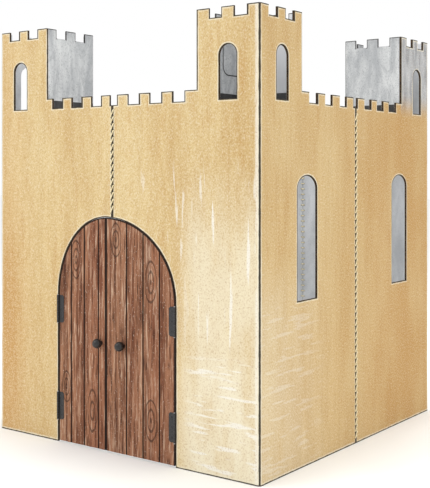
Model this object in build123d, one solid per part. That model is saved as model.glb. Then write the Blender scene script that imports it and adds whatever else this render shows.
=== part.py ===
from build123d import *
import math
import os

# ---------------------------------------------------------------------------
# Child-size cardboard play castle. Millimetres, +Z up, doors facing -Y.
# Origin: centre of the bounding box, on the floor.
# ---------------------------------------------------------------------------

# Overall
WIDTH = 1200.0          # across the front, outside
DEPTH = 1240.0          # front to back, outside
BOARD = 7.0             # double-wall board
FOLD_R = 8.0            # outside radius of a corner fold
TOWER = 250.0           # outside width of each tower face
TOWER_TOP = 1516.0
TOWER_NOTCH = 1483.5
PARAPET_TOP = 1254.0
PARAPET_NOTCH = 1218.0
MERLON = 50.0           # tower merlons and notches
SEAM_GAP = 1.0          # between the butted edges of two sheets

# Seams, distance from the left edge or from the front edge
FRONT_SEAM = 577.0
SIDE_SEAM = 622.0
BACK_SEAM = 600.0

# Parapet notches, from the left edge (front and back) or front edge (sides)
FRONT_NOTCHES = [(281, 331), (379, 427), (476, 523), (565, 599),
                 (648, 699), (747, 799), (848, 899)]
SIDE_NOTCHES = [(297, 350), (403, 450), (505, 552), (604, 634),
                (688, 737), (787, 836), (886, 944)]

# Three corners carry a tower. The back left corner has only the parapet,
# which runs round it with these extra notches.
PLAIN_CORNER = (-1, 1)
CORNER_NOTCHES_BACK = [(83, 133), (183, 233)]
CORNER_NOTCHES_SIDE = [(992, 1042), (1092, 1142)]

# Tower windows: round-headed
T_WIN_W, T_WIN_SILL, T_WIN_TOP = 69.0, 1219.0, 1395.0
T_WIN_FRONT = [109.0, 1076.0]
T_WIN_SIDE = [130.0, 1134.0]

# Lower side windows: low arched heads
S_WIN_W, S_WIN_SILL, S_WIN_SPRING, S_WIN_TOP = 125.0, 556.0, 928.0, 972.0
S_WIN = [284.0, 974.0]

# Door opening: two quarter-ellipse heads meeting over the meeting line
JAMB_L, JAMB_R, MEET = 311.0, 862.5, 547.0
DOOR_TOP = 825.0
SPRING_L, SPRING_R = 535.0, 545.0
LEAF_GAP = 4.0          # leaf edge to jamb, where the hinge plates pass
ARCH_GAP = 2.0          # leaf to the top of the arch
MEET_GAP = 4.0          # between the two leaves
LEAF_FLOOR = 5.0        # under the leaves
GROOVE_W, GROOVE_D = 2.0, 1.5
GROOVES_L = [378.0, 442.0, 511.0]
GROOVES_R = [644.0, 719.0, 792.0]

# Hinges
HINGE_H = 100.0
HINGE_Z = [132.0, 485.0]
KNUCKLES = 5
KNUCKLE_R = 4.0
KNUCKLE_GAP = 0.6
PIN_R = 1.6
PIN_FIT = 0.06          # radial running clearance in the moving knuckles
PIVOT_OUT = 4.4         # pivot axis in front of the wall face
PIVOT_IN = 2.0          # pivot axis inside the opening from the jamb
DOOR_PLATE_T = 1.5
DOOR_PLATE_W = 25.0
WALL_PLATE_T = 1.2
WALL_PLATE_W = 26.0
PLATE_CHAMFER = 6.0
FIX_Z = [-34.0, 0.0, 34.0]
FIX_X = 15.5            # fixing column from the pivot
RIVET_R, RIVET_HEAD_R, RIVET_HEAD_T, RIVET_TAIL_R, RIVET_TAIL_T = 1.6, 3.6, 1.6, 4.0, 0.9
SCREW_R, SCREW_HEAD_R, SCREW_HEAD_T, SCREW_DEPTH = 1.5, 3.2, 1.7, 4.5

# Knobs
KNOB_X = [523.0, 628.0]
KNOB_Z = 381.0
KNOB_R = 17.0
KNOB_NECK_R, KNOB_NECK = 8.0, 5.0
KNOB_FLAT = 2.0         # how far the neck sinks into the ball
KNOB_SCREW_R = 2.0
KNOB_SCREW_IN = 16.0    # screw length inside the knob
WASHER_R, WASHER_T = 9.0, 1.0

# Seam lacing
CORD_R = 2.2
LACE_HALF = 6.5         # hole centre to seam
LACE_PITCH = 24.0
LACE_HOLE_R = 3.5
LACE_STAND = 2.3        # cord centre above the board faces
LACE_BEND = 4.0         # bend radius of the cord centre line
LACE_TAIL = 30.0
LACE_START_LOW = 20.0
LACE_START_FRONT = 842.0

# Tower inner walls
LINER_T = 5.0
LINER_FOLD_R = 6.0
LINER_BOTTOM = 1190.0
LINER_TAB = 34.0
LINER_TAB_TOP = 1470.0

KNOB_REACH = KNOB_NECK + 2 * KNOB_R - KNOB_FLAT
LACE_REACH = LACE_STAND + CORD_R
SHIFT_Y = (KNOB_REACH - LACE_REACH) / 2

X0, Y0 = -WIDTH / 2, -DEPTH / 2     # left edge, front edge (before the shift)

os.makedirs("parts", exist_ok=True)


def block(x0, x1, y0, y1, z0, z1):
    xa, xb = min(x0, x1), max(x0, x1)
    ya, yb = min(y0, y1), max(y0, y1)
    return Pos((xa + xb) / 2, (ya + yb) / 2, (z0 + z1) / 2) * Box(xb - xa, yb - ya, z1 - z0)


def rod(axis, r, length, centre):
    """Cylinder along X, Y or Z, centred on a point."""
    c = Cylinder(r, length)
    if axis == "Y":
        c = Rot(90, 0, 0) * c
    elif axis == "X":
        c = Rot(0, 90, 0) * c
    return Pos(*centre) * c


def put(name, shape):
    """Write one node, moved to the shared frame."""
    shape = Pos(0, SHIFT_Y, 0) * shape
    solids = shape.solids()
    vol = sum(s.volume for s in solids)
    export_step(shape, f"parts/{name}.step")
    bb = shape.bounding_box()
    print(f"{name:34s} solids {len(solids):3d} vol {vol:12.1f} "
          f"x {bb.min.X:8.2f} {bb.max.X:8.2f} y {bb.min.Y:8.2f} {bb.max.Y:8.2f} "
          f"z {bb.min.Z:8.2f} {bb.max.Z:8.2f} valid {shape.is_valid}")


def on_front(face, y, half=12.0):
    """Extrude an (x, z) outline through a wall that lies at the given y."""
    pl = Plane(origin=(0, y, 0), x_dir=(1, 0, 0), z_dir=(0, -1, 0))
    return extrude(pl * face, half, both=True)


def on_side(face, x, half=12.0):
    """Extrude a (y, z) outline through a wall that lies at the given x."""
    pl = Plane(origin=(x, 0, 0), x_dir=(0, 1, 0), z_dir=(1, 0, 0))
    return extrude(pl * face, half, both=True)


def window(c, w, sill, spring, top):
    """Arched window outline."""
    f = Pos(c, (sill + spring) / 2) * Rectangle(w, spring - sill)
    head = Pos(c, spring) * Ellipse(w / 2, top - spring)
    return f + head


def half_arch(side, a, b, spring, z0, inset=0.0, meet=0.0, inset_top=0.0):
    """Half of the door shape on one side of the meeting line."""
    xm = X0 + MEET
    ai, bi = a - inset, b - inset_top
    f = Pos(xm, spring) * Ellipse(ai, bi)
    f += Pos(xm, (z0 + spring) / 2) * Rectangle(2 * ai, spring - z0)
    xa, xb = xm + side * meet, xm + side * (a + 5)
    keep = Pos((xa + xb) / 2, (z0 + spring + b + 5) / 2) * Rectangle(abs(xb - xa), spring + b + 5 - z0)
    return f & keep


def lace_levels(z_start, z_end=PARAPET_NOTCH - 12):
    n = int((z_end - z_start) // LACE_PITCH)
    return [z_start + i * LACE_PITCH for i in range(n + 1)]


LEVELS_FULL = lace_levels(LACE_START_LOW)
LEVELS_FRONT = lace_levels(LACE_START_FRONT)


# ---------------------------------------------------------------------------
# Wall panels: four folded sheets, one round each corner
# ---------------------------------------------------------------------------

DOOR_CUTS = [
    on_front(half_arch(-1, MEET - JAMB_L, DOOR_TOP - SPRING_L, SPRING_L, -10.0), Y0),
    on_front(half_arch(1, JAMB_R - MEET, DOOR_TOP - SPRING_R, SPRING_R, -10.0), Y0),
]


def panel(sx, sy):
    """sx, sy: -1 or 1, which corner of the plan."""
    xc, yc = sx * WIDTH / 2, sy * DEPTH / 2
    xs = X0 + (FRONT_SEAM if sy < 0 else BACK_SEAM) + sx * SEAM_GAP / 2
    ys = Y0 + SIDE_SEAM + sy * SEAM_GAP / 2
    pts = [(xs, yc), (xc, yc), (xc, ys), (xc - sx * BOARD, ys),
           (xc - sx * BOARD, yc - sy * BOARD), (xs, yc - sy * BOARD)]
    if sx * sy < 0:
        pts = pts[::-1]
    f = make_face(Polyline(*pts, close=True))
    v_out = min(f.vertices(), key=lambda v: abs(v.X - xc) + abs(v.Y - yc))
    f = fillet(v_out, FOLD_R)
    v_in = min(f.vertices(), key=lambda v: abs(v.X - (xc - sx * BOARD)) + abs(v.Y - (yc - sy * BOARD)))
    f = fillet(v_in, FOLD_R - BOARD)
    body = extrude(f, TOWER_TOP)
    if body.bounding_box().min.Z < -1:
        body = extrude(f, -TOWER_TOP)

    cuts = []
    plain = (sx, sy) == PLAIN_CORNER
    if plain:
        cuts.append(block(xs - sx * 5, xc + sx * 5, ys - sy * 5, yc + sy * 5, PARAPET_TOP, TOWER_TOP + 5))
        for a, b in CORNER_NOTCHES_BACK:
            cuts.append(block(X0 + a, X0 + b, yc - sy * 15, yc + sy * 5, PARAPET_NOTCH, PARAPET_TOP + 5))
        for a, b in CORNER_NOTCHES_SIDE:
            cuts.append(block(xc - sx * 15, xc + sx * 5, Y0 + a, Y0 + b, PARAPET_NOTCH, PARAPET_TOP + 5))
    # above the parapet, between the tower and the seam
    if not plain:
        cuts.append(block(xc - sx * TOWER, xs - sx * 5, yc - sy * 15, yc + sy * 5, PARAPET_TOP, TOWER_TOP + 5))
        cuts.append(block(xc - sx * 15, xc + sx * 5, yc - sy * TOWER, ys - sy * 5, PARAPET_TOP, TOWER_TOP + 5))
    # parapet notches
    for a, b in FRONT_NOTCHES:
        if (sx < 0 and a < FRONT_SEAM) or (sx > 0 and b > FRONT_SEAM):
            cuts.append(block(X0 + a, X0 + b, yc - sy * 15, yc + sy * 5, PARAPET_NOTCH, PARAPET_TOP + 5))
    for a, b in SIDE_NOTCHES:
        if (sy < 0 and a < SIDE_SEAM) or (sy > 0 and b > SIDE_SEAM):
            cuts.append(block(xc - sx * 15, xc + sx * 5, Y0 + a, Y0 + b, PARAPET_NOTCH, PARAPET_TOP + 5))
    # tower notches
    for k in (() if plain else (1, 3)):
        a, b = k * MERLON, (k + 1) * MERLON
        cuts.append(block(xc - sx * a, xc - sx * b, yc - sy * 15, yc + sy * 5, TOWER_NOTCH, TOWER_TOP + 5))
        cuts.append(block(xc - sx * 15, xc + sx * 5, yc - sy * a, yc - sy * b, TOWER_NOTCH, TOWER_TOP + 5))
    # tower windows
    spring = T_WIN_TOP - T_WIN_W / 2
    if not plain:
        cx = X0 + T_WIN_FRONT[0 if sx < 0 else 1]
        cuts.append(on_front(window(cx, T_WIN_W, T_WIN_SILL, spring, T_WIN_TOP), yc))
        cy = Y0 + T_WIN_SIDE[0 if sy < 0 else 1]
        cuts.append(on_side(window(cy, T_WIN_W, T_WIN_SILL, spring, T_WIN_TOP), xc))
    # lower side window
    cy = Y0 + S_WIN[0 if sy < 0 else 1]
    cuts.append(on_side(window(cy, S_WIN_W, S_WIN_SILL, S_WIN_SPRING, S_WIN_TOP), xc))
    # door opening and the blind holes for the hinge screws
    if sy < 0:
        cuts += DOOR_CUTS
        jamb, s = (X0 + JAMB_L, 1) if sx < 0 else (X0 + JAMB_R, -1)
        for hz in HINGE_Z:
            for dz in FIX_Z:
                y_in = Y0 + BOARD
                cuts.append(rod("Y", SCREW_R, SCREW_DEPTH + 1,
                                (jamb + s * (PIVOT_IN - FIX_X), y_in - SCREW_DEPTH / 2 + 0.5, hz + dz)))
    # lacing holes: the lower hole of the first stitch is on the left edge,
    # the upper hole of the last stitch on the right edge
    xseam = X0 + (FRONT_SEAM if sy < 0 else BACK_SEAM)
    lv = LEVELS_FRONT if sy < 0 else LEVELS_FULL
    low = (sx < 0) if sy < 0 else (sx > 0)      # left edge as seen from outside
    for z in (lv[:-1] if low else lv[1:]):
        cuts.append(rod("Y", LACE_HOLE_R, 3 * BOARD, (xseam + sx * LACE_HALF, yc, z)))
    yseam = Y0 + SIDE_SEAM
    low = (sy < 0) if sx > 0 else (sy > 0)
    for z in (LEVELS_FULL[:-1] if low else LEVELS_FULL[1:]):
        cuts.append(rod("X", LACE_HOLE_R, 3 * BOARD, (xc, yseam + sy * LACE_HALF, z)))
    out = body - cuts
    return out


put("front_left_wall_panel", panel(-1, -1))
put("front_right_wall_panel", panel(1, -1))
put("back_right_wall_panel", panel(1, 1))
put("back_left_wall_panel", panel(-1, 1))


# ---------------------------------------------------------------------------
# Tower inner walls: one folded strip in each tower, with a glue tab at each end
# ---------------------------------------------------------------------------

def tower_liner(sx, sy):
    xc, yc = sx * WIDTH / 2, sy * DEPTH / 2

    def P(u, v):
        return (xc - sx * u, yc - sy * v)

    t, w, b = LINER_T, TOWER, BOARD
    pts = [P(w, b), P(w, w), P(b, w), P(b, w - LINER_TAB), P(b + t, w - LINER_TAB),
           P(b + t, w - t), P(w - t, w - t), P(w - t, b + t), P(w - LINER_TAB, b + t), P(w - LINER_TAB, b)]
    if sx * sy < 0:
        pts = pts[::-1]
    f = make_face(Polyline(*pts, close=True))
    for (u, v), r in (((w, w), LINER_FOLD_R), ((w - t, w - t), LINER_FOLD_R - t),
                      ((w, b), LINER_FOLD_R), ((w - t, b + t), LINER_FOLD_R - t),
                      ((b, w), LINER_FOLD_R), ((b + t, w - t), LINER_FOLD_R - t)):
        x, y = P(u, v)
        vv = min(f.vertices(), key=lambda q: abs(q.X - x) + abs(q.Y - y))
        f = fillet(vv, r)
    h = TOWER_TOP - LINER_BOTTOM
    body = extrude(f, h)
    if body.bounding_box().min.Z < -1:
        body = extrude(f, -h)
    body = Pos(0, 0, LINER_BOTTOM) * body
    cuts = []
    for k in (1, 3):
        a, c = k * MERLON, (k + 1) * MERLON
        x1, _ = P(w + 5, 0)
        x2, _ = P(w - 15, 0)
        cuts.append(block(x1, x2, P(0, a)[1], P(0, c)[1], TOWER_NOTCH, TOWER_TOP + 5))
        y1, y2 = P(0, w + 5)[1], P(0, w - 15)[1]
        cuts.append(block(P(a, 0)[0], P(c, 0)[0], y1, y2, TOWER_NOTCH, TOWER_TOP + 5))
    # the glue tabs stop short of the notches
    ta, tb = P(w - LINER_TAB - 5, b - 5), P(w - LINER_FOLD_R - 2, b + t + 8)
    cuts.append(block(ta[0], tb[0], ta[1], tb[1], LINER_TAB_TOP, TOWER_TOP + 5))
    ta, tb = P(b - 5, w - LINER_TAB - 5), P(b + t + 8, w - LINER_FOLD_R - 2)
    cuts.append(block(ta[0], tb[0], ta[1], tb[1], LINER_TAB_TOP, TOWER_TOP + 5))
    return body - cuts


put("front_left_tower_inner_wall", tower_liner(-1, -1))
put("front_right_tower_inner_wall", tower_liner(1, -1))
put("back_right_tower_inner_wall", tower_liner(1, 1))


# ---------------------------------------------------------------------------
# Seam lacing: one cord per seam, slanting up across the outside and level inside
# ---------------------------------------------------------------------------

def lacing(name, origin, across, outward, levels):
    o, a, n = Vector(*origin), Vector(*across), Vector(*outward)
    up = Vector(0, 0, 1)

    def Q(s, d, z):
        return o + a * s + n * d + up * z

    h, out_d, in_d = LACE_HALF, LACE_STAND, -(BOARD + LACE_STAND)
    pts = [Q(-h - LACE_TAIL, in_d, levels[0]), Q(-h, in_d, levels[0])]
    for i in range(len(levels) - 1):
        pts.append(Q(-h, out_d, levels[i]))
        pts.append(Q(h, out_d, levels[i + 1]))
        pts.append(Q(h, in_d, levels[i + 1]))
        if i < len(levels) - 2:
            pts.append(Q(-h, in_d, levels[i + 1]))
    pts.append(Q(h + LACE_TAIL, in_d, levels[-1]))
    path = FilletPolyline(*pts, radius=LACE_BEND)
    cord = sweep(Plane(origin=path @ 0, z_dir=path % 0) * Circle(CORD_R), path)
    want = math.pi * CORD_R ** 2 * path.length
    put(name, cord)
    print(f"   cord length {path.length:.1f} mm, section x length {want:.1f} mm3, "
          f"volume {cord.volume:.1f} mm3, ratio {cord.volume / want:.5f}, bend radius {LACE_BEND} mm")


lacing("front_seam_lacing", (X0 + FRONT_SEAM, Y0, 0), (1, 0, 0), (0, -1, 0), LEVELS_FRONT)
lacing("right_seam_lacing", (-X0, Y0 + SIDE_SEAM, 0), (0, 1, 0), (1, 0, 0), LEVELS_FULL)
lacing("back_seam_lacing", (X0 + BACK_SEAM, -Y0, 0), (-1, 0, 0), (0, 1, 0), LEVELS_FULL)
lacing("left_seam_lacing", (X0, Y0 + SIDE_SEAM, 0), (0, -1, 0), (-1, 0, 0), LEVELS_FULL)


# ---------------------------------------------------------------------------
# Doors, hinges, knobs
# ---------------------------------------------------------------------------

def revolve_y(points, x, z):
    """Turned part about an axis along Y; points are (radius, distance in front of the wall face)."""
    f = make_face(Polyline(*points, close=True))
    solid = revolve(f, Axis.Y, 360)
    # local +Y runs outwards from the wall, which is -Y in the castle
    return Pos(x, Y0, z) * Rot(0, 0, 180) * solid


def door_side(side):
    """side: 'left' (hinged on the left jamb) or 'right'."""
    s = 1 if side == "left" else -1
    jamb = X0 + (JAMB_L if s > 0 else JAMB_R)
    pivot = jamb + s * PIVOT_IN
    py = Y0 - PIVOT_OUT
    face, back = Y0, Y0 + BOARD
    a = abs(MEET - (JAMB_L if s > 0 else JAMB_R))
    spring = SPRING_L if s > 0 else SPRING_R
    b = DOOR_TOP - spring
    kx = X0 + (KNOB_X[0] if s > 0 else KNOB_X[1])
    mid = (face + back) / 2

    # leaf
    outline = half_arch(-s, a, b, spring, LEAF_FLOOR, inset=LEAF_GAP, meet=MEET_GAP / 2, inset_top=ARCH_GAP)
    leaf = on_front(outline, mid, BOARD / 2)
    cuts = [block(X0 + g - GROOVE_W / 2, X0 + g + GROOVE_W / 2, face - 5, face + GROOVE_D, -5, DOOR_TOP + 5)
            for g in (GROOVES_L if s > 0 else GROOVES_R)]
    cuts.append(rod("Y", KNOB_SCREW_R, 30, (kx, mid, KNOB_Z)))
    rivets = [(pivot + s * FIX_X, hz + dz) for hz in HINGE_Z for dz in FIX_Z]
    cuts += [rod("Y", RIVET_R, 30, (x, mid, z)) for x, z in rivets]
    put(f"{side}_door_leaf", leaf - cuts)

    # knob: ball on a short neck
    ball_y = KNOB_NECK + KNOB_R - KNOB_FLAT
    ball = Pos(kx, face - ball_y, KNOB_Z) * Sphere(KNOB_R)
    neck = rod("Y", KNOB_NECK_R, KNOB_NECK + 4, (kx, face - (KNOB_NECK + 4) / 2, KNOB_Z))
    knob = ball + neck
    knob -= rod("Y", KNOB_SCREW_R, 2 * KNOB_SCREW_IN, (kx, face, KNOB_Z))
    put(f"{side}_door_knob", knob)
    washer = rod("Y", WASHER_R, WASHER_T, (kx, back + WASHER_T / 2, KNOB_Z))
    washer -= rod("Y", KNOB_SCREW_R, 10, (kx, back, KNOB_Z))
    put(f"{side}_knob_washer", washer)
    hb = BOARD + WASHER_T
    # pan-head screw: turned profile, negative distances lie behind the wall face
    screw = revolve_y([(0, KNOB_SCREW_IN - 1), (KNOB_SCREW_R, KNOB_SCREW_IN - 2), (KNOB_SCREW_R, -hb),
                       (4.0, -hb), (4.0, -hb - 1.6), (3.0, -hb - 2.4), (0, -hb - 2.4)], kx, KNOB_Z)
    put(f"{side}_knob_screw", screw)

    # hinges
    step = HINGE_H / KNUCKLES
    for hz, level in zip(HINGE_Z, ("lower", "upper")):
        z0 = hz - HINGE_H / 2
        c = PLATE_CHAMFER
        xo = pivot + s * (PIVOT_IN + DOOR_PLATE_W)
        pts = [(pivot, z0 + KNUCKLE_GAP / 2), (xo - s * c, z0 + KNUCKLE_GAP / 2), (xo, z0 + c), (xo, z0 + HINGE_H - c),
               (xo - s * c, z0 + HINGE_H - KNUCKLE_GAP / 2), (pivot, z0 + HINGE_H - KNUCKLE_GAP / 2)]
        if s < 0:
            pts = pts[::-1]
        plate = on_front(make_face(Polyline(*pts, close=True)), face - DOOR_PLATE_T / 2, DOOR_PLATE_T / 2)
        plate -= [block(pivot - s * 1, pivot + s * (KNUCKLE_R + 0.8), face - 10, face + 10,
                        z0 + k * step - KNUCKLE_GAP / 2, z0 + (k + 1) * step + KNUCKLE_GAP / 2)
                  for k in range(1, KNUCKLES, 2)]
        for k in range(0, KNUCKLES, 2):
            plate += rod("Z", KNUCKLE_R, step - KNUCKLE_GAP, (pivot, py, z0 + (k + 0.5) * step))
        plate -= rod("Z", PIN_R + PIN_FIT, HINGE_H + 10, (pivot, py, hz))
        plate -= [rod("Y", RIVET_R, 30, (pivot + s * FIX_X, face, hz + dz)) for dz in FIX_Z]
        put(f"{side}_{level}_hinge_door_plate", plate)

        xa, xb = jamb + s * 0.1, jamb + s * (0.1 + WALL_PLATE_T)
        wall = block(xa, xb, face + 0.3, back + WALL_PLATE_T, z0 + 0.3, z0 + HINGE_H - 0.3)
        xw = jamb - s * WALL_PLATE_W
        pts = [(xb, z0 + 0.3), (xw + s * c, z0 + 0.3), (xw, z0 + c), (xw, z0 + HINGE_H - c),
               (xw + s * c, z0 + HINGE_H - 0.3), (xb, z0 + HINGE_H - 0.3)]
        if s > 0:
            pts = pts[::-1]
        wall += on_front(make_face(Polyline(*pts, close=True)), back + WALL_PLATE_T / 2, WALL_PLATE_T / 2)
        for k in range(1, KNUCKLES, 2):
            zc = z0 + (k + 0.5) * step
            wall += block(xa, xb, py, face + 1, zc - step / 2 + KNUCKLE_GAP / 2, zc + step / 2 - KNUCKLE_GAP / 2)
            wall += rod("Z", KNUCKLE_R, step - KNUCKLE_GAP, (pivot, py, zc))
        wall -= rod("Z", PIN_R, HINGE_H + 10, (pivot, py, hz))
        wall -= [rod("Y", SCREW_R, 8, (jamb + s * (PIVOT_IN - FIX_X), back, hz + dz)) for dz in FIX_Z]
        put(f"{side}_{level}_hinge_wall_plate", wall)

        pin = rod("Z", PIN_R, HINGE_H, (pivot, py, hz))
        for e in (-1, 1):
            pin += rod("Z", 3.2, 1.6, (pivot, py, hz + e * (HINGE_H / 2 + 0.5 + 0.8)))
            pin += rod("Z", PIN_R, 2.0, (pivot, py, hz + e * (HINGE_H / 2 + 0.5)))
        put(f"{side}_{level}_hinge_pin", pin)

    # rivets through the door plates and the leaf
    pl = DOOR_PLATE_T
    prof = [(0, pl + RIVET_HEAD_T), (1.8, pl + RIVET_HEAD_T), (3.0, pl + RIVET_HEAD_T * 0.6),
            (RIVET_HEAD_R, pl), (RIVET_R, pl), (RIVET_R, -BOARD), (RIVET_TAIL_R, -BOARD),
            (RIVET_TAIL_R, -BOARD - RIVET_TAIL_T), (0, -BOARD - RIVET_TAIL_T)]
    put(f"{side}_door_plate_rivets", Compound([revolve_y(prof, x, z).solid() for x, z in rivets]))

    # short screws from the inside into the wall board
    bb = -BOARD - WALL_PLATE_T
    prof = [(0, -BOARD + SCREW_DEPTH - 0.3), (SCREW_R, -BOARD + SCREW_DEPTH - 1.2), (SCREW_R, bb),
            (SCREW_HEAD_R, bb), (SCREW_HEAD_R, bb - SCREW_HEAD_T * 0.5), (2.0, bb - SCREW_HEAD_T), (0, bb - SCREW_HEAD_T)]
    xs = jamb + s * (PIVOT_IN - FIX_X)
    put(f"{side}_wall_plate_screws",
        Compound([revolve_y(prof, xs, hz + dz).solid() for hz in HINGE_Z for dz in FIX_Z]))


door_side("left")
door_side("right")
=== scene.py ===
import bpy
import math
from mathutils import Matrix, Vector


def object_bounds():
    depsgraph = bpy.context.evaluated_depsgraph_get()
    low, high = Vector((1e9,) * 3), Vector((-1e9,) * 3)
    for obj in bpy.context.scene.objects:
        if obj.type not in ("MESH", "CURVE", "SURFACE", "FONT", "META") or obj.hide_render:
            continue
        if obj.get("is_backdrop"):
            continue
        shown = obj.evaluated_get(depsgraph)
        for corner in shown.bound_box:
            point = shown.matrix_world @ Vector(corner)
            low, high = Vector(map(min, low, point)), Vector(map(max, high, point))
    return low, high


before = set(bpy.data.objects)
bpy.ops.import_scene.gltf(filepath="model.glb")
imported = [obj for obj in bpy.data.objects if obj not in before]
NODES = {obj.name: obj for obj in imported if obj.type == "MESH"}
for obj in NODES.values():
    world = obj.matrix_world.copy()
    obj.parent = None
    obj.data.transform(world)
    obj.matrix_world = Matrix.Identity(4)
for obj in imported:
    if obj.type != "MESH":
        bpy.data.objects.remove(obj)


def plain(v):
    return [list(map(float, q)) if hasattr(q, "__len__") else float(q) for q in v]


size_before = plain(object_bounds())
S = 0.01625                 # the castle's middle lies this far towards the back
HX, HY = 0.6, 0.62          # half width and half depth of the walls
X0, Y0 = -HX, -HY + S       # left edge and front face


# ------------------------------------------------------------------ materials

class Mat:
    """A small builder for procedural materials."""

    def __init__(self, name, rough=0.85, spec=0.25):
        self.m = bpy.data.materials.new(name)
        self.m.use_nodes = True
        self.nt = self.m.node_tree
        self.nt.nodes.clear()
        self.out = self.nt.nodes.new("ShaderNodeOutputMaterial")
        self.b = self.nt.nodes.new("ShaderNodeBsdfPrincipled")
        self.b.inputs["Roughness"].default_value = rough
        self.b.inputs["Specular IOR Level"].default_value = spec
        self.nt.links.new(self.b.outputs[0], self.out.inputs[0])
        tc = self.nt.nodes.new("ShaderNodeTexCoord")
        self.co = tc.outputs["Object"]
        sep = self.nt.nodes.new("ShaderNodeSeparateXYZ")
        self.nt.links.new(self.co, sep.inputs[0])
        self.x, self.y, self.z = sep.outputs

    def put(self, sock, v):
        if isinstance(v, (int, float)):
            sock.default_value = v
        elif isinstance(v, (tuple, list)):
            sock.default_value = (*v, 1.0) if len(v) == 3 and len(sock.default_value) == 4 else v
        else:
            self.nt.links.new(v, sock)

    def f(self, op, a, b=None, c=None, clamp=False):
        n = self.nt.nodes.new("ShaderNodeMath")
        n.operation = op
        n.use_clamp = clamp
        for i, v in enumerate((a, b, c)):
            if v is not None:
                self.put(n.inputs[i], v)
        return n.outputs[0]

    def ramp(self, v, a, b, lo=0.0, hi=1.0):
        n = self.nt.nodes.new("ShaderNodeMapRange")
        n.interpolation_type = "SMOOTHSTEP"
        self.put(n.inputs["Value"], v)
        for k, q in (("From Min", a), ("From Max", b), ("To Min", lo), ("To Max", hi)):
            self.put(n.inputs[k], q)
        return n.outputs[0]

    def vec(self, sx, sy, sz, off=(0, 0, 0)):
        n = self.nt.nodes.new("ShaderNodeMapping")
        self.nt.links.new(self.co, n.inputs["Vector"])
        n.inputs["Scale"].default_value = (sx, sy, sz)
        n.inputs["Location"].default_value = off
        return n.outputs[0]

    def noise(self, vec, scale=1.0, detail=4.0, rough=0.55, dist=0.0):
        n = self.nt.nodes.new("ShaderNodeTexNoise")
        self.put(n.inputs["Vector"], vec)
        n.inputs["Scale"].default_value = scale
        n.inputs["Detail"].default_value = detail
        n.inputs["Roughness"].default_value = rough
        n.inputs["Distortion"].default_value = dist
        return n.outputs["Fac"]

    def mix(self, fac, a, b, mode="MIX"):
        n = self.nt.nodes.new("ShaderNodeMix")
        n.data_type = "RGBA"
        n.blend_type = mode
        self.put(n.inputs[0], fac)
        self.put(n.inputs[6], a)
        self.put(n.inputs[7], b)
        return n.outputs[2]

    def bump(self, h, strength=0.3, dist=0.001):
        n = self.nt.nodes.new("ShaderNodeBump")
        n.inputs["Strength"].default_value = strength
        n.inputs["Distance"].default_value = dist
        self.nt.links.new(h, n.inputs["Height"])
        self.nt.links.new(n.outputs[0], self.b.inputs["Normal"])

    def color(self, c):
        self.put(self.b.inputs["Base Color"], c)

    def absd(self, v, c):
        return self.f("ABSOLUTE", self.f("SUBTRACT", v, c))


def lin(r, g, b):
    def q(v):
        v /= 255
        return v / 12.92 if v <= 0.04045 else ((v + 0.055) / 1.055) ** 2.4
    return (q(r), q(g), q(b))


def depth_mask(m):
    """How far in from the outer faces of the walls: 0 on the outside, 7 mm at the back."""
    dx = m.f("SUBTRACT", HX, m.f("ABSOLUTE", m.x))
    dy = m.f("SUBTRACT", HY, m.absd(m.y, S))
    return m.f("MINIMUM", dx, dy)


FRONT_NOTCHES = [(281, 331), (379, 427), (476, 523), (565, 599), (648, 699), (747, 799), (848, 899)]
SIDE_NOTCHES = [(297, 350), (403, 450), (505, 552), (604, 634), (688, 737), (787, 836), (886, 944)]


def top_levels(length, notches):
    """Steps of the battlements along a wall: (start mm, height m)."""
    e = [(0, 1.516), (50, 1.4835), (100, 1.516), (150, 1.4835), (200, 1.516), (250, 1.254)]
    for p, q in notches:
        e += [(p, 1.218), (q, 1.254)]
    e += [(length - 250, 1.516), (length - 200, 1.4835), (length - 150, 1.516), (length - 100, 1.4835), (length - 50, 1.516)]
    return e


def level_ramp(m, u, length, notches):
    """Height of the wall's top edge at u (metres from its left end)."""
    n = m.nt.nodes.new("ShaderNodeValToRGB")
    r = n.color_ramp
    r.interpolation = "CONSTANT"
    steps = top_levels(length, notches)
    while len(r.elements) > 1:
        r.elements.remove(r.elements[-1])
    r.elements[0].position = 0.0
    for i, (p, h) in enumerate(steps):
        el = r.elements[0] if i == 0 else r.elements.new(p / length)
        el.color = (h / 2, h / 2, h / 2, 1)
    m.put(n.inputs[0], m.f("DIVIDE", u, length / 1000, clamp=True))
    return m.f("MULTIPLY", n.outputs[0], 2.0)


def top_ink(m, u, length, notches, t):
    h = level_ramp(m, u, length, notches)
    for s in (-1, 1):
        h = m.f("MINIMUM", h, level_ramp(m, m.f("ADD", u, m.f("MULTIPLY", t, s)), length, notches))
    return m.ramp(m.f("SUBTRACT", m.z, m.f("SUBTRACT", h, t)), -0.0006, 0.0006)


def arch_ink(m, u, c, w, sill, spring, top, t):
    """1 close round an arched opening."""
    au = m.f("DIVIDE", m.absd(u, c), m.f("ADD", t, w))
    hz = m.f("DIVIDE", m.f("MAXIMUM", m.f("SUBTRACT", m.z, spring), 0.0), m.f("ADD", t, top - spring))
    r = m.f("ADD", m.f("MULTIPLY", au, au), m.f("MULTIPLY", hz, hz))
    low = m.f("GREATER_THAN", m.z, m.f("SUBTRACT", sill, t))
    return m.f("MULTIPLY", m.f("LESS_THAN", r, 1.0), low)


KNOTS = [(401, 669, 26, 70), (353, 206, 22, 58), (482, 137, 26, 80), (594, 747, 26, 60),
         (754, 611, 27, 75), (754, 141, 29, 74)]
# ink colour, also used for painted shade: the contact shadow along the walls' foot and the black foot of the tower
# liners
INK_AND_SHADE = lin(30, 24, 20)


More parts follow.
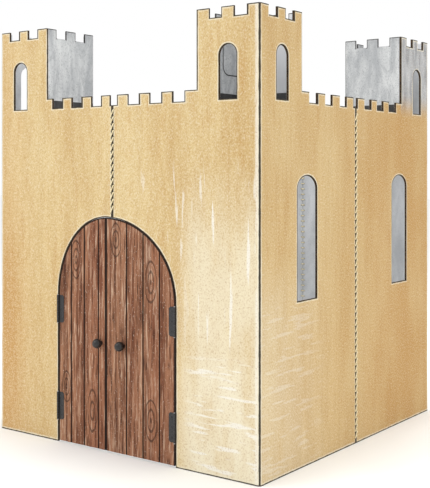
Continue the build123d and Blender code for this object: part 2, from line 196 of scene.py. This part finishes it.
def wall_material():
    m = Mat("castle_board_outside", rough=0.9, spec=0.15)
    d = depth_mask(m)
    u = m.f("SUBTRACT", m.x, X0)
    v = m.f("SUBTRACT", m.y, Y0)
    side = m.ramp(m.f("ABSOLUTE", m.x), HX - 0.0030, HX - 0.0016)          # the two side walls
    front = m.f("SUBTRACT", 1.0, side)
    right = m.f("MULTIPLY", side, m.f("GREATER_THAN", m.x, 0.0))
    # waxy pencil colour: paper tooth, soft streaks, slow patches
    tooth = m.noise(m.vec(210, 210, 170), 1.0, 3.0, 0.7)
    streak = m.noise(m.vec(24, 24, 2.2), 1.0, 5.0, 0.6, 0.4)
    broad = m.noise(m.vec(5.5, 5.5, 1.6, (2, 9, 3)), 1.0, 4.0, 0.55, 0.5)
    hatch = m.noise(m.vec(70, 70, 9, (1, 5, 2)), 1.0, 3.0, 0.6, 0.3)
    base = m.mix(m.ramp(broad, 0.30, 0.70), lin(210, 176, 118), lin(228, 203, 150))
    base = m.mix(m.ramp(streak, 0.35, 0.70, 0.0, 0.55), base, lin(236, 212, 158))
    base = m.mix(m.ramp(hatch, 0.50, 0.72, 0.0, 0.40), base, lin(204, 160, 96))
    # deeper ochre at the left end and foot of the front; painted shade darkens the whole right wall, more so at its far
    # end
    left = m.f("MULTIPLY", m.ramp(u, 0.24, 0.0, 0.0, 0.70), m.ramp(m.z, 1.15, 0.3, 0.35, 1.0))
    base = m.mix(m.f("MULTIPLY", left, front), base, lin(204, 152, 86))
    right_wall_shade = m.f("MULTIPLY", right, m.ramp(v, 0.30, 1.10, 0.30, 0.85))
    right_wall_shade = m.f("MULTIPLY", right_wall_shade, m.ramp(m.noise(m.vec(6, 6, 3, (8, 1, 6)), 1.0, 4.0), 0.3, 0.65, 0.65, 1.0))
    base = m.mix(right_wall_shade, base, lin(200, 154, 90))
    # painted highlight: pale fields right of the doors and low on the near corner
    pn = m.ramp(m.noise(m.vec(10, 10, 3.0, (3, 1, 4)), 1.0, 4.0), 0.28, 0.58, 0.40, 1.0)
    pale_highlight_front = m.f("MULTIPLY", m.ramp(u, 0.84, 0.96), m.ramp(m.z, 1.05, 0.70, 0.0, 0.75))
    pale_highlight_front = m.f("ADD", pale_highlight_front, m.f("MULTIPLY", m.ramp(u, 0.84, 0.90), m.ramp(m.z, 0.42, 0.30, 0.0, 0.25)))
    pale_highlight_front = m.f("MULTIPLY", m.f("MULTIPLY", pale_highlight_front, front), pn)
    pale_highlight_right = m.f("MULTIPLY", m.f("MULTIPLY", m.ramp(v, 0.50, 0.10, 0.0, 0.35), m.ramp(m.z, 0.75, 0.45)), m.f("MULTIPLY", right, pn))
    base = m.mix(m.f("ADD", pale_highlight_front, pale_highlight_right, clamp=True), base, lin(246, 236, 206))
    # painted highlight: bare white strokes, upright and level
    s1 = m.ramp(m.noise(m.vec(48, 48, 3.2, (7, 2, 1)), 1.0, 2.0, 0.5), 0.60, 0.66)
    w1 = m.f("MULTIPLY", m.ramp(u, 0.86, 0.98), m.f("MULTIPLY", m.ramp(m.z, 0.38, 0.46), m.ramp(m.z, 1.04, 0.90)))
    s2 = m.ramp(m.noise(m.vec(7, 7, 62, (4, 4, 9)), 1.0, 2.0, 0.5), 0.56, 0.63)
    w2 = m.f("MULTIPLY", m.ramp(u, 0.88, 0.96), m.ramp(m.z, 0.40, 0.34))
    s3 = m.ramp(m.noise(m.vec(52, 52, 4.5, (1, 8, 5)), 1.0, 2.0, 0.5), 0.64, 0.70, 0.0, 0.7)
    w3 = m.f("MULTIPLY", m.ramp(u, 0.66, 0.76), m.f("MULTIPLY", m.ramp(m.z, 0.66, 0.74), m.ramp(m.z, 1.04, 0.94)))
    w4 = m.f("MULTIPLY", m.f("MULTIPLY", right, m.ramp(v, 0.45, 0.2)), m.ramp(m.z, 0.62, 0.5, 0.0, 0.28))
    highlight_strokes = m.f("MULTIPLY", m.f("MAXIMUM", m.f("MULTIPLY", s1, w1), m.f("MAXIMUM", m.f("MULTIPLY", s2, w2), m.f("MULTIPLY", s3, w3))), front)
    highlight_strokes = m.f("MAXIMUM", highlight_strokes, m.f("MULTIPLY", s2, w4))
    # painted highlight: a pale strip beside the near corner's fold
    corner_highlight = m.f("MULTIPLY", m.f("MULTIPLY", m.ramp(u, 1.178, 1.186), front), m.ramp(streak, 0.40, 0.52, 0.05, 0.80))
    highlight_strokes = m.f("MAXIMUM", highlight_strokes, corner_highlight)
    base = m.mix(m.f("MULTIPLY", highlight_strokes, 0.85), base, lin(253, 249, 236))
    # the far right tower is grey outside, down to about the parapet
    gt = m.f("MULTIPLY", m.f("MULTIPLY", right, m.ramp(v, 0.985, 0.992)), m.ramp(m.z, 1.19, 1.30))
    gn = m.noise(m.vec(30, 30, 9, (5, 5, 5)), 1.0, 5.0, 0.6, 0.4)
    base = m.mix(gt, base, m.mix(m.ramp(gn, 0.3, 0.7), lin(150, 153, 156), lin(204, 206, 207)))
    base = m.mix(m.ramp(tooth, 0.50, 0.64, 0.0, 0.40), base, lin(250, 240, 214))
    base = m.mix(m.ramp(tooth, 0.47, 0.34, 0.0, 0.42), base, lin(176, 126, 66))
    # ink along the cut edges and folds, and painted contact shadow along the foot of the walls, with a thin bare halo
    # beside it
    wob = m.noise(m.vec(30, 30, 30, (9, 3, 3)), 1.0, 2.0)
    t = m.f("ADD", m.f("MULTIPLY", wob, 0.0030), 0.0018)
    isf = m.f("LESS_THAN", m.y, 0.0)
    lo = m.f("LESS_THAN", u, 0.547)
    hi = m.f("SUBTRACT", 1.0, lo)
    plain_b = m.f("MULTIPLY", m.f("SUBTRACT", 1.0, isf), m.f("LESS_THAN", u, 0.252))
    plain_s = m.f("MULTIPLY", m.f("LESS_THAN", m.x, 0.0), m.f("GREATER_THAN", v, 0.988))
    dx = m.f("SUBTRACT", HX, m.f("ABSOLUTE", m.x))
    dy = m.f("SUBTRACT", HY, m.absd(m.y, S))

    def ink_lines_and_foot_shadow(t, seam):
        inkf = top_ink(m, u, 1200, FRONT_NOTCHES, t)
        inks = top_ink(m, v, 1240, SIDE_NOTCHES, t)
        low_top = m.f("GREATER_THAN", m.z, m.f("SUBTRACT", 1.254, t))
        inkf = m.f("MAXIMUM", inkf, m.f("MULTIPLY", low_top, plain_b))
        inks = m.f("MAXIMUM", inks, m.f("MULTIPLY", low_top, plain_s))
        for c in (0.109, 1.076):
            inkf = m.f("MAXIMUM", inkf, arch_ink(m, u, c, 0.0345, 1.219, 1.3605, 1.395, t))
        for c in (0.130, 1.134):
            inks = m.f("MAXIMUM", inks, arch_ink(m, v, c, 0.0345, 1.219, 1.3605, 1.395, t))
        for c in (0.284, 0.974):
            inks = m.f("MAXIMUM", inks, arch_ink(m, v, c, 0.0625, 0.556, 0.928, 0.972, t))
        dl = m.f("MULTIPLY", arch_ink(m, u, 0.547, 0.236, -1.0, 0.535, 0.825, t), lo)
        dr = m.f("MULTIPLY", arch_ink(m, u, 0.547, 0.3155, -1.0, 0.545, 0.825, t), hi)
        inkf = m.f("MAXIMUM", inkf, m.f("MULTIPLY", m.f("MAXIMUM", dl, dr), isf))
        sf = m.f("ADD", m.f("MULTIPLY", isf, -0.023), 0.600)
        inkf = m.f("MAXIMUM", inkf, m.f("LESS_THAN", m.f("ABSOLUTE", m.f("SUBTRACT", u, sf)), seam))
        inks = m.f("MAXIMUM", inks, m.f("LESS_THAN", m.absd(v, 0.622), seam))
        ink = m.f("ADD", m.f("MULTIPLY", inkf, front), m.f("MULTIPLY", inks, side), clamp=True)
        k = m.f("MULTIPLY", t, 1.5)
        fold = m.f("MULTIPLY", m.f("LESS_THAN", m.f("MAXIMUM", dx, dy), m.f("ADD", k, 0.0024)),
                   m.f("LESS_THAN", m.f("ABSOLUTE", m.f("SUBTRACT", dx, dy)), k))
        ink = m.f("MAXIMUM", ink, fold)
        # painted contact shadow: a dark band along the foot of the walls, where they meet the floor
        return m.f("MAXIMUM", ink, m.f("LESS_THAN", m.z, m.f("MULTIPLY", t, 1.2))), fold

    halo, _ = ink_lines_and_foot_shadow(m.f("ADD", t, 0.0042), 0.0100)
    base = m.mix(m.f("MULTIPLY", halo, m.ramp(hatch, 0.35, 0.60, 0.30, 0.75)), base, lin(250, 240, 212))
    ink, fold = ink_lines_and_foot_shadow(t, 0.0060)
    base = m.mix(m.f("MULTIPLY", ink, 0.93), base, INK_AND_SHADE)
    # cut edges: dark, with the flutes between the liners
    edge = m.f("MULTIPLY", m.ramp(d, 0.0006, 0.0010), m.ramp(d, 0.0068, 0.0064))
    edge = m.f("MULTIPLY", edge, m.f("SUBTRACT", 1.0, fold))
    flute = m.noise(m.vec(260, 260, 260), 1.0, 2.0)
    cut = m.mix(m.ramp(flute, 0.40, 0.60), lin(40, 30, 22), lin(92, 70, 48))
    g = m.noise(m.vec(14, 14, 6, (5, 5, 5)), 1.0, 5.0, 0.6, 0.4)
    inside = m.mix(m.ramp(g, 0.3, 0.7), lin(206, 208, 208), lin(236, 237, 236))
    inside = m.mix(m.ramp(tooth, 0.50, 0.70, 0.0, 0.30), inside, lin(170, 172, 174))
    col = m.mix(m.ramp(d, 0.0064, 0.0069), base, inside)
    arc = m.f("LESS_THAN", m.f("MAXIMUM", dx, dy), 0.0085)
    col = m.mix(m.f("MULTIPLY", edge, m.f("SUBTRACT", 1.0, arc)), col, cut)
    m.color(m.mix(1.0, col, (0.84, 0.84, 0.86), "MULTIPLY"))
    m.bump(m.f("ADD", m.f("MULTIPLY", tooth, 0.6), m.f("MULTIPLY", hatch, 0.4)), 0.22, 0.0007)
    return m.m


def door_material():
    m = Mat("door_board", rough=0.82, spec=0.2)
    xx = m.f("SUBTRACT", m.x, X0)
    grain = m.noise(m.vec(60, 60, 1.8), 1.0, 6.0, 0.65, 0.6)
    fine = m.noise(m.vec(150, 150, 10), 1.0, 3.0, 0.65)
    tooth = m.noise(m.vec(230, 230, 120, (3, 3, 3)), 1.0, 3.0, 0.7)
    plank = m.noise(m.vec(7.5, 0.01, 0.01, (2.3, 0, 0)), 1.0, 1.0)
    base = m.mix(m.ramp(grain, 0.32, 0.66), lin(104, 64, 46), lin(176, 128, 98))
    base = m.mix(m.ramp(plank, 0.35, 0.65, 0.0, 0.35), base, lin(148, 86, 60))
    base = m.mix(m.ramp(fine, 0.53, 0.68, 0.0, 0.72), base, lin(214, 182, 156))
    base = m.mix(m.ramp(fine, 0.47, 0.33, 0.0, 0.75), base, lin(62, 34, 24))
    base = m.mix(m.ramp(tooth, 0.60, 0.72, 0.0, 0.75), base, lin(238, 222, 206))
    wob = m.f("MULTIPLY", m.f("SUBTRACT", m.noise(m.vec(14, 14, 9), 1.0, 2.0), 0.5), 0.42)
    line = None
    for cx, cz, a, b in KNOTS:
        uu = m.f("DIVIDE", m.f("SUBTRACT", xx, cx / 1000), a / 1000)
        w = m.f("DIVIDE", m.f("SUBTRACT", m.z, cz / 1000), b / 1000)
        e = m.f("SQRT", m.f("ADD", m.f("MULTIPLY", uu, uu), m.f("MULTIPLY", w, w)))
        e = m.f("ADD", e, wob)
        for r, t in ((0.95, 0.075), (0.50, 0.09), (0.08, 0.10)):
            q = m.ramp(m.absd(e, r), t, t * 0.5)
            line = q if line is None else m.f("MAXIMUM", line, q)
    base = m.mix(m.f("MULTIPLY", line, 0.62), base, lin(44, 26, 20))
    ink = None
    for g in (0.378, 0.442, 0.511, 0.644, 0.719, 0.792):
        q = m.ramp(m.absd(xx, g), 0.0036, 0.0026)
        ink = q if ink is None else m.f("MAXIMUM", ink, q)
    ink = m.f("MAXIMUM", ink, m.ramp(m.absd(xx, 0.547), 0.0068, 0.0056))
    ink = m.f("MAXIMUM", ink, m.ramp(m.f("MINIMUM", m.absd(xx, 0.311), m.absd(xx, 0.8625)), 0.0085, 0.0070))
    for c, lim, sp in ((0.232 - 0.0045, -1, 0.535), (0.3115 - 0.0045, 1, 0.545)):
        uu = m.f("DIVIDE", m.absd(xx, 0.547), c)
        hz = m.f("DIVIDE", m.f("MAXIMUM", m.f("SUBTRACT", m.z, sp), 0.0), 0.825 - sp - 0.0065)
        r = m.f("ADD", m.f("MULTIPLY", uu, uu), m.f("MULTIPLY", hz, hz))
        onside = m.f("GREATER_THAN", m.f("MULTIPLY", m.f("SUBTRACT", xx, 0.547), lim), 0.0)
        ink = m.f("MAXIMUM", ink, m.f("MULTIPLY", m.f("GREATER_THAN", r, 1.0), onside))
    base = m.mix(m.f("MULTIPLY", ink, 0.92), base, lin(26, 18, 15))
    d = m.f("SUBTRACT", m.y, Y0)
    base = m.mix(m.ramp(d, 0.0002, 0.0006), base, lin(34, 22, 16))
    base = m.mix(m.ramp(d, 0.0064, 0.0068), base, m.mix(m.ramp(grain, 0.3, 0.7), lin(196, 196, 194), lin(222, 222, 220)))
    m.color(m.mix(1.0, base, (0.84, 0.82, 0.80), "MULTIPLY"))
    m.bump(grain, 0.25, 0.0008)
    return m.m


def grey_material():
    m = Mat("tower_inner_board", rough=0.9, spec=0.15)
    g = m.noise(m.vec(20, 20, 7), 1.0, 5.0, 0.6, 0.5)
    tooth = m.noise(m.vec(210, 210, 150), 1.0, 3.0, 0.7)
    c = m.mix(m.ramp(g, 0.30, 0.70), lin(190, 192, 194), lin(236, 237, 236))
    c = m.mix(m.ramp(tooth, 0.50, 0.68, 0.0, 0.55), c, lin(140, 143, 146))
    c = m.mix(m.ramp(m.z, 1.46, 1.53, 0.0, 0.25), c, lin(150, 152, 155))
    # painted shade at the foot (black below the parapet's top, standing in for the shade inside the tower), a painted
    # shadow edge, and ink on the fold and round the merlons
    fx = m.absd(m.f("ABSOLUTE", m.x), 0.350)
    fy = m.absd(m.absd(m.y, S), 0.370)
    fold = m.f("MULTIPLY", m.f("LESS_THAN", fx, 0.0045), m.f("LESS_THAN", fy, 0.0045))
    ink = m.f("MAXIMUM", fold, m.f("LESS_THAN", m.z, 1.2505))
    v = m.f("SUBTRACT", m.y, Y0)
    # painted shadow edge: an L-shaped dark line with a rounded corner on the liner's face inside the tower
    inner_x = m.f("MULTIPLY", m.f("LESS_THAN", m.absd(m.f("ABSOLUTE", m.x), 0.355), 0.0006), m.f("LESS_THAN", v, 0.243))
    ex = m.f("MAXIMUM", m.f("SUBTRACT", 0.172, v), 0.0)
    ez = m.f("MAXIMUM", m.f("SUBTRACT", 1.345, m.z), 0.0)
    painted_shadow_edge = m.absd(m.f("SQRT", m.f("ADD", m.f("MULTIPLY", ex, ex), m.f("MULTIPLY", ez, ez))), 0.031)
    painted_shadow_edge = m.f("MULTIPLY", m.f("LESS_THAN", painted_shadow_edge, 0.0022), inner_x)
    ink = m.f("MAXIMUM", ink, painted_shadow_edge)
    # painted light: the liner's face inside the tower, towards the front and back walls, is near-white
    painted_light_face = m.f("LESS_THAN", m.absd(m.absd(m.y, S), HY - 0.245), 0.0006)
    c = m.mix(painted_light_face, c, lin(250, 250, 252))
    k = None
    for coord, off in ((m.f("SUBTRACT", HX, m.f("ABSOLUTE", m.x)), fx), (m.f("SUBTRACT", HY, m.absd(m.y, S)), fy)):
        w = m.f("PINGPONG", coord, 0.05)
        q = m.f("LESS_THAN", m.f("MINIMUM", w, m.f("SUBTRACT", 0.05, w)), 0.0026)
        q = m.f("MULTIPLY", q, m.f("GREATER_THAN", off, 0.0062))
        k = q if k is None else m.f("MAXIMUM", k, q)
    k = m.f("MULTIPLY", k, m.f("GREATER_THAN", m.z, 1.4805))
    ink = m.f("MAXIMUM", ink, m.f("MAXIMUM", k, m.f("GREATER_THAN", m.z, 1.5130)))
    c = m.mix(m.f("MULTIPLY", ink, 0.9), c, INK_AND_SHADE)
    m.color(m.mix(1.0, c, (0.84, 0.84, 0.84), "MULTIPLY"))
    m.bump(tooth, 0.2, 0.0006)
    return m.m


def cord_material():
    m = Mat("cotton_cord", rough=0.9, spec=0.2)
    n = m.noise(m.vec(420, 420, 420), 1.0, 2.0)
    m.color(m.mix(m.ramp(n, 0.35, 0.65), lin(214, 196, 150), lin(246, 236, 204)))
    m.bump(n, 0.4, 0.0006)
    return m.m


def solid_material(name, a, b, rough, metal=0.0, scale=200, spec=0.5):
    m = Mat(name, rough=rough, spec=spec)
    m.b.inputs["Metallic"].default_value = metal
    n = m.noise(m.vec(scale, scale, scale), 1.0, 4.0)
    m.color(m.mix(m.ramp(n, 0.35, 0.65), a, b))
    m.bump(n, 0.12, 0.0003)
    return m.m


M_WALL, M_DOOR, M_GREY, M_CORD = wall_material(), door_material(), grey_material(), cord_material()
M_BLACK = solid_material("black_painted_steel", lin(22, 22, 24), lin(44, 44, 46), 0.42, 0.0)
M_STEEL = solid_material("steel_pin", lin(150, 150, 152), lin(196, 196, 198), 0.35, 0.9)
M_ZINC = solid_material("zinc_steel", lin(170, 172, 176), lin(206, 208, 210), 0.38, 0.9)
M_KNOB = solid_material("black_painted_wood", lin(18, 16, 16), lin(38, 34, 32), 0.35, 0.0, 60)

for name, o in NODES.items():
    if name.endswith("wall_panel"):
        mat = M_WALL
    elif name.endswith("inner_wall"):
        mat = M_GREY
    elif name.endswith("lacing"):
        mat = M_CORD
    elif name.endswith("door_leaf"):
        mat = M_DOOR
    elif name.endswith("door_knob"):
        mat = M_KNOB
    elif name.endswith("washer") or name.endswith("knob_screw"):
        mat = M_ZINC
    elif name.endswith("pin"):
        mat = M_STEEL
    else:
        mat = M_BLACK
    o.data.materials.clear()
    o.data.materials.append(mat)

# ------------------------------------------------------------------ floor, light, camera

bpy.ops.mesh.primitive_plane_add(size=60, location=(0, 0, 0))
floor = bpy.context.object
floor.name = "studio_floor"
fm = Mat("studio_paper", rough=0.95, spec=0.1)
fm.color(lin(246, 246, 244))
floor.data.materials.append(fm.m)
floor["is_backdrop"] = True

world = bpy.data.worlds.new("studio")
bpy.context.scene.world = world
world.use_nodes = True
bg = world.node_tree.nodes["Background"]
bg.inputs[0].default_value = (1, 1, 1, 1)
bg.inputs[1].default_value = 1.0


def area(name, loc, aim, size, power):
    l = bpy.data.lights.new(name, "AREA")
    l.shape = "DISK"
    l.size = size
    l.energy = power
    o = bpy.data.objects.new(name, l)
    bpy.context.collection.objects.link(o)
    o.location = loc
    v = [aim[i] - loc[i] for i in range(3)]
    n = math.sqrt(sum(q * q for q in v))
    o.rotation_euler = (math.acos(-v[2] / n), 0, math.atan2(v[1], v[0]) - math.pi / 2)
    return o


area("key", (-2.6, -4.2, 4.2), (0, 0, 0.7), 2.6, 62)
area("fill", (4.6, -1.2, 2.6), (0, 0, 0.7), 3.0, 14)
area("top", (0.1, 0.2, 4.6), (0, 0, 0), 2.2, 110)

cam = bpy.data.cameras.new("camera")
cam.lens = 72.89
cam.sensor_width = 36.0
cam.shift_y = -0.148
camera = bpy.data.objects.new("camera", cam)
bpy.context.collection.objects.link(camera)
camera.location = (2.328, -3.182 + S, 0.985)
camera.rotation_euler = (math.radians(90), 0, math.radians(36.603))
bpy.context.scene.camera = camera
bpy.context.scene.view_settings.view_transform = "Standard"

size_after = plain(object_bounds())
